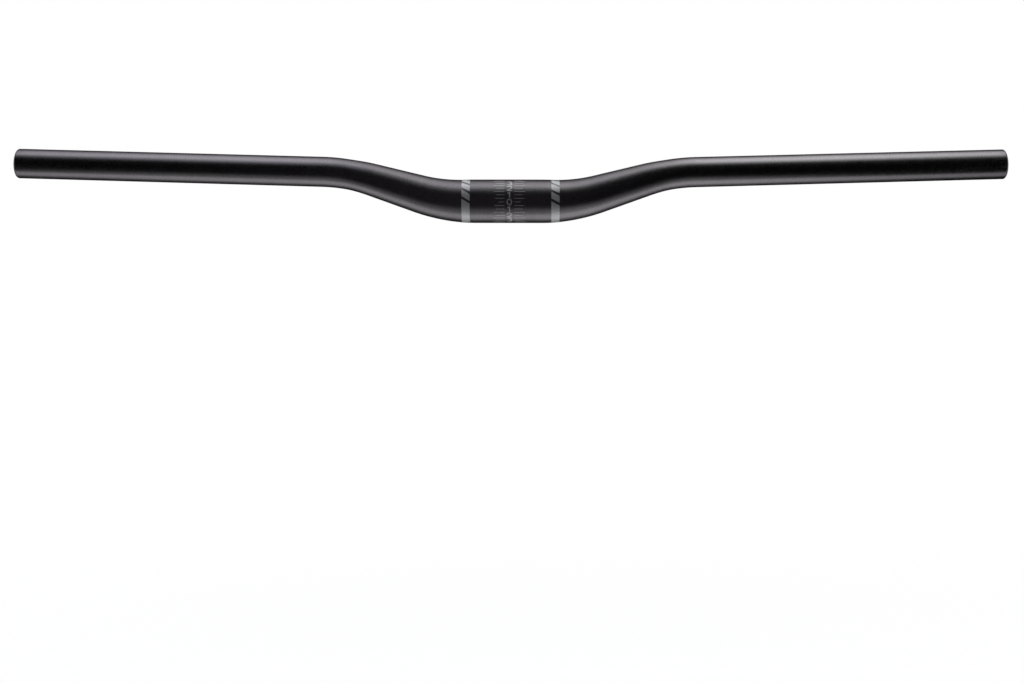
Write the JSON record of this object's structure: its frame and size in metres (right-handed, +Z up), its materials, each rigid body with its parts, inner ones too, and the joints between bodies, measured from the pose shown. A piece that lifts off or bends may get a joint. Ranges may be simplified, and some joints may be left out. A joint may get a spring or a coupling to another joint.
{
  "type": "riser handlebar",
  "caption": "Black riser handlebar: a one-piece aluminium tube with a thick middle zone for a stem, tapered bends up to the grips, and ends swept back.",
  "frame": {"origin": "centre of the middle zone that the stem clamps, on the tube's axis", "axes": "+X along the clamp axis to the grip on the right of the picture, +Y to the rear, the way the grips sweep back, +Z up, the way they rise"},
  "size_m": [0.743, 0.0715, 0.055],
  "materials": {
    "black_anodised": "satin",
    "grey_print": "satin"
  },
  "bodies": {
    "root": {"handlebar": "black_anodised"}
  },
  "joints": []
}
